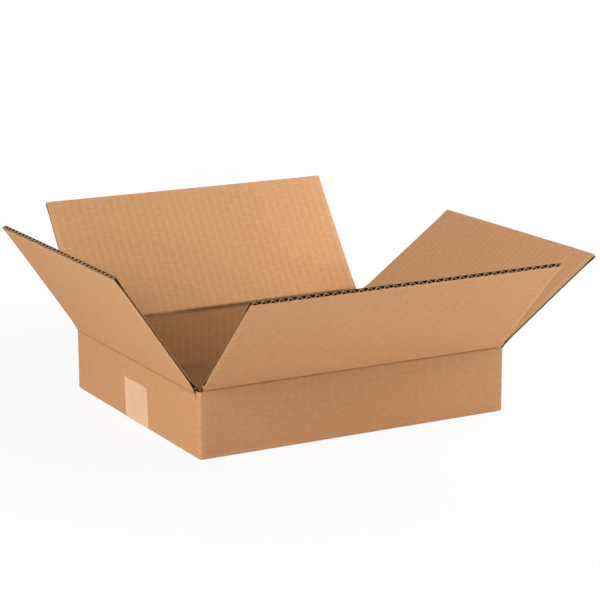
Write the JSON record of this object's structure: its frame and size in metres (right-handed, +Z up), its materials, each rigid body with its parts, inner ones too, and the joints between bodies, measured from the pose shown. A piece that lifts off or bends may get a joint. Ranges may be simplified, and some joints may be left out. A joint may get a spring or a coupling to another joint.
{
  "type": "corrugated cardboard box",
  "caption": "Shallow corrugated shipping carton with its bottom flaps taped shut and its top flaps folded open.",
  "frame": {"origin": "middle of the underside of the box, where it stands", "axes": "+X along the long front wall to the right, +Y from the front wall to the back wall, +Z up"},
  "size_m": [0.4925, 0.4376, 0.1695],
  "materials": {
    "kraft_board": "matt unbleached kraft liner over closed flutes",
    "kraft_liner": "matt unbleached kraft liner and medium",
    "tan_tape": "dull tan film"
  },
  "bodies": {
    "box": {"box_body": "kraft_board", "sealing_tape": "tan_tape"},
    "front_flap": {"front_flap": "kraft_liner"},
    "back_flap": {"back_flap": "kraft_liner"},
    "left_flap": {"left_flap": "kraft_liner"},
    "right_flap": {"right_flap": "kraft_liner"}
  },
  "joints": [
    {"name": "front_flap_crease", "type": "hinge", "parent": "box", "child": "front_flap", "pos_m": [0, -0.132, 0.0625], "axis": [1, 0, 0], "range_deg": [-134.5, 69.5]},
    {"name": "back_flap_crease", "type": "hinge", "parent": "box", "child": "back_flap", "pos_m": [0, 0.132, 0.0625], "axis": [-1, 0, 0], "range_deg": [-126.5, 77.5]},
    {"name": "left_flap_crease", "type": "hinge", "parent": "box", "child": "left_flap", "pos_m": [-0.154, 0, 0.0583], "axis": [0, -1, 0], "range_deg": [-124.5, 79.5]},
    {"name": "right_flap_crease", "type": "hinge", "parent": "box", "child": "right_flap", "pos_m": [0.154, 0, 0.0583], "axis": [0, 1, 0], "range_deg": [-144.5, 59.5]}
  ]
}
